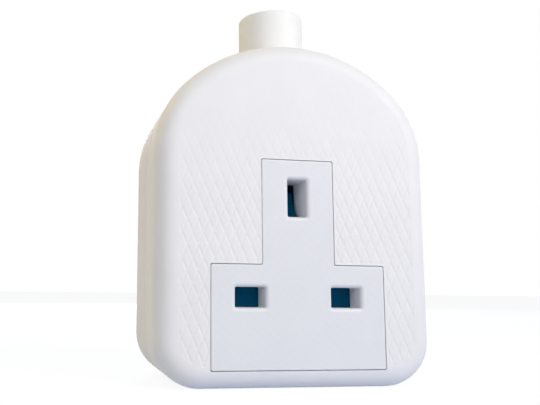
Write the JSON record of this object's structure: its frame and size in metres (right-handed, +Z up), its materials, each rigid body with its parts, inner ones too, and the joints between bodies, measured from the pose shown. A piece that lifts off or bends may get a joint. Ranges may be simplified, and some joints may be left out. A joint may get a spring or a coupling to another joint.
{
  "type": "trailing socket",
  "caption": "Rewirable trailing socket for a plug with flat pins: arched two-part housing, inverted T socket face with rounded apertures, sliding shutter and a round cable sleeve.",
  "frame": {"origin": "middle of the flat lower end that the socket stands on", "axes": "+Z up along the socket towards the cable sleeve, -Y out of the socket face, +X across the face"},
  "size_m": [0.0644, 0.035, 0.0909],
  "materials": {
    "housing_white": "fine knurled matt moulding",
    "face_white": "lightly textured moulding",
    "sleeve_white": "smooth satin moulding",
    "shutter_blue": "smooth satin moulding",
    "carrier_blue": "plain matt moulding",
    "brass": "rolled and turned brass",
    "steel": "bright zinc plate"
  },
  "bodies": {
    "housing": {"front_cover": "housing_white", "rear_cover": "housing_white", "socket_insert": "face_white", "cable_sleeve": "sleeve_white", "shutter_spring": "steel", "contact_carrier": "carrier_blue", "earth_contact": "brass", "live_contact": "brass", "neutral_contact": "brass", "earth_terminal": "brass", "live_terminal": "brass", "neutral_terminal": "brass", "earth_terminal_screw": "steel", "live_terminal_screw": "steel", "neutral_terminal_screw": "steel", "carrier_screws": "steel", "cover_screws": "steel", "cover_nuts": "brass", "cord_clamp_bar": "carrier_blue", "clamp_screw_left": "steel", "clamp_screw_right": "steel"},
    "shutter": {"shutter": "shutter_blue"}
  },
  "joints": [
    {"name": "shutter_slide", "type": "slide", "parent": "housing", "child": "shutter", "axis": [0, 0, -1], "range_m": [0, 0.0066], "stiffness_N_per_m": 150, "springref_m": -0.004, "deforming": ["shutter_spring"]}
  ]
}
